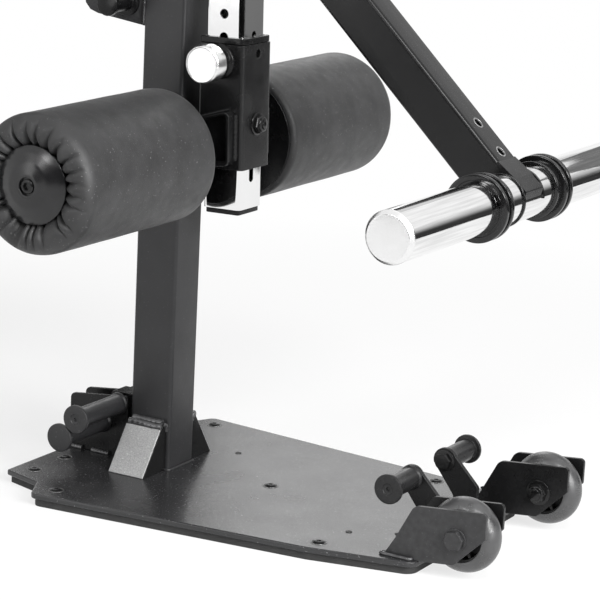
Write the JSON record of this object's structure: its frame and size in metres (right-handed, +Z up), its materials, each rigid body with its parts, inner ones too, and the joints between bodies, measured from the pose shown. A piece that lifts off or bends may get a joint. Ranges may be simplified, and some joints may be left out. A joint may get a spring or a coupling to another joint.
{
  "type": "adjustable weight bench",
  "caption": "Adjustable bench on a central beam with a swinging leg lever, foam rollers, a plate sleeve, a floor plate with transport wheels, and a tilting seat and backrest.",
  "frame": {"origin": "on the floor under the middle of the front column, at the rubber mat's underside", "axes": "+Z up, +X along the bench from the backrest towards the transport wheels, +Y to the side away from the carriage's pull pin"},
  "size_m": [1.6648, 0.608, 0.6953],
  "materials": {
    "black_paint": "satin black powder coat",
    "plate_paint": "textured dark grey powder coat",
    "chrome": "polished chrome plate",
    "zinc": "dull zinc plate",
    "rubber": "matte moulded rubber",
    "wheel_rubber": "satin grey moulded rubber",
    "plastic": "fine-grained moulded plastic",
    "foam_cover": "mottled charcoal vinyl over foam",
    "vinyl": "matte charcoal upholstery vinyl"
  },
  "bodies": {
    "bench_frame": {"column": "black_paint", "column_gusset_near": "black_paint", "column_gusset_far": "black_paint", "pivot_bracket": "black_paint", "beam_bracket": "black_paint", "main_beam": "black_paint", "rear_leg": "black_paint", "rear_handle": "black_paint", "wheel_bracket_near": "black_paint", "wheel_bracket_far": "black_paint", "front_peg_bar_near": "black_paint", "front_peg_bar_far": "black_paint", "front_peg_near": "black_paint", "front_peg_far": "black_paint", "rear_peg_bracket_near": "black_paint", "rear_peg_bracket_far": "black_paint", "base_plate": "plate_paint", "pivot_pin": "zinc", "wheel_bolt_near": "zinc", "wheel_bolt_far": "zinc", "seat_hinge_bolt": "zinc", "back_hinge_bolt": "zinc", "base_mat": "rubber", "foot_cap_near": "rubber", "foot_cap_far": "rubber", "lever_bumper": "rubber", "seat_bumper": "rubber", "back_bumper": "rubber", "beam_pin_barrel": "plastic", "seat_pin_barrel": "plastic", "back_pin_barrel": "plastic"},
    "lever": {"lever_hub": "black_paint", "post": "chrome", "post_end_cap": "plastic", "weight_arm": "black_paint", "weight_sleeve": "chrome", "sleeve_collar_near": "rubber", "sleeve_collar_far": "rubber"},
    "carriage_assembly": {"carriage": "black_paint", "carriage_liner": "plastic", "carriage_set_bolt": "zinc", "carriage_pin_barrel": "plastic", "roller_arm_near": "black_paint", "roller_arm_far": "black_paint"},
    "carriage_pin_body": {"carriage_pin": "chrome"},
    "near_roller": {"roller_core_near": "plastic", "roller_pad_near": "foam_cover", "roller_cap_near": "black_paint"},
    "far_roller": {"roller_core_far": "plastic", "roller_pad_far": "foam_cover", "roller_cap_far": "black_paint"},
    "near_wheel": {"wheel_near": "wheel_rubber"},
    "far_wheel": {"wheel_far": "wheel_rubber"},
    "seat": {"seat_frame": "black_paint", "seat_pad": "vinyl"},
    "backrest": {"back_frame": "black_paint", "back_pad": "vinyl"},
    "beam_pin_body": {"beam_pin": "black_paint"},
    "seat_pin_body": {"seat_pin": "black_paint"},
    "back_pin_body": {"back_pin": "black_paint"}
  },
  "joints": [
    {"name": "lever_swing", "type": "hinge", "parent": "bench_frame", "child": "lever", "pos_m": [0.066, 0, 0.662], "axis": [0, -1, 0], "range_deg": [0, 100]},
    {"name": "carriage_slide", "type": "slide", "parent": "lever", "child": "carriage_assembly", "axis": [-0.0269, 0, 0.9996], "range_m": [0, 0.094]},
    {"name": "carriage_pin_pull", "type": "slide", "parent": "carriage_assembly", "child": "carriage_pin_body", "axis": [0, -1, 0], "range_m": [0, 0.008], "stiffness_N_per_m": 500, "springref_m": -0.006},
    {"name": "near_roller_spin", "type": "hinge", "parent": "carriage_assembly", "child": "near_roller", "pos_m": [0.02992, 0, 0.35952], "axis": [0, 1, 0], "continuous": true},
    {"name": "far_roller_spin", "type": "hinge", "parent": "carriage_assembly", "child": "far_roller", "pos_m": [0.02992, 0, 0.35952], "axis": [0, 1, 0], "continuous": true},
    {"name": "near_wheel_spin", "type": "hinge", "parent": "bench_frame", "child": "near_wheel", "pos_m": [0.409, -0.093, 0.044], "axis": [0, 1, 0], "continuous": true},
    {"name": "far_wheel_spin", "type": "hinge", "parent": "bench_frame", "child": "far_wheel", "pos_m": [0.409, 0.093, 0.044], "axis": [0, 1, 0], "continuous": true},
    {"name": "seat_tilt", "type": "hinge", "parent": "bench_frame", "child": "seat", "pos_m": [-0.285, 0, 0.622], "axis": [0, -1, 0], "range_deg": [0, 16]},
    {"name": "back_tilt", "type": "hinge", "parent": "bench_frame", "child": "backrest", "pos_m": [-0.4, 0, 0.622], "axis": [0, 1, 0], "range_deg": [0, 80]},
    {"name": "beam_pin_pull", "type": "slide", "parent": "bench_frame", "child": "beam_pin_body", "axis": [0, -1, 0], "range_m": [0, 0.012], "stiffness_N_per_m": 500, "springref_m": -0.006},
    {"name": "seat_pin_pull", "type": "slide", "parent": "bench_frame", "child": "seat_pin_body", "axis": [0, 1, 0], "range_m": [0, 0.008], "stiffness_N_per_m": 500, "springref_m": -0.006},
    {"name": "back_pin_pull", "type": "slide", "parent": "bench_frame", "child": "back_pin_body", "axis": [0, 1, 0], "range_m": [0, 0.008], "stiffness_N_per_m": 500, "springref_m": -0.006}
  ]
}
